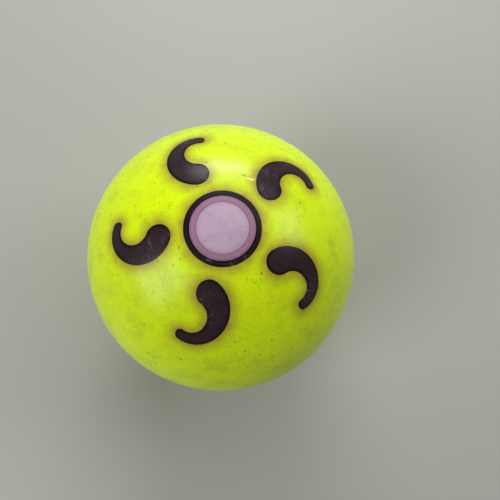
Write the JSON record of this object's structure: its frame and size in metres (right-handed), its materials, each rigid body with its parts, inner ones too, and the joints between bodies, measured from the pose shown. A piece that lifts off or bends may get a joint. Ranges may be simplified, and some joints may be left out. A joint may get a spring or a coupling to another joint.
{
  "type": "hockey ball",
  "caption": "Smooth neon yellow field hockey ball: cork and rubber core inside moulded cover cups welded at the seam, with a dark, pink and orange pinwheel print.",
  "frame": {"origin": "centre of the ball", "axes": "+Z from the ball's centre through the middle of the print; the seam lies in the XY plane; +Y is 18 degrees clockwise from the bend of one stroke, as seen from +Z"},
  "size_m": [0.0726, 0.0726, 0.0727],
  "materials": {
    "cork_rubber": "matte",
    "cover_pvc": "satin",
    "weld_pvc": "satin",
    "ink_orange": "satin",
    "ink_dark": "satin",
    "ink_mauve": "satin",
    "ink_pink": "satin"
  },
  "bodies": {
    "root": {"core": "cork_rubber", "front_cup": "cover_pvc", "rear_cup": "cover_pvc", "seam_weld": "weld_pvc", "print_halo": "ink_orange", "print_dark": "ink_dark", "print_border": "ink_mauve", "print_disc": "ink_pink"}
  },
  "joints": []
}
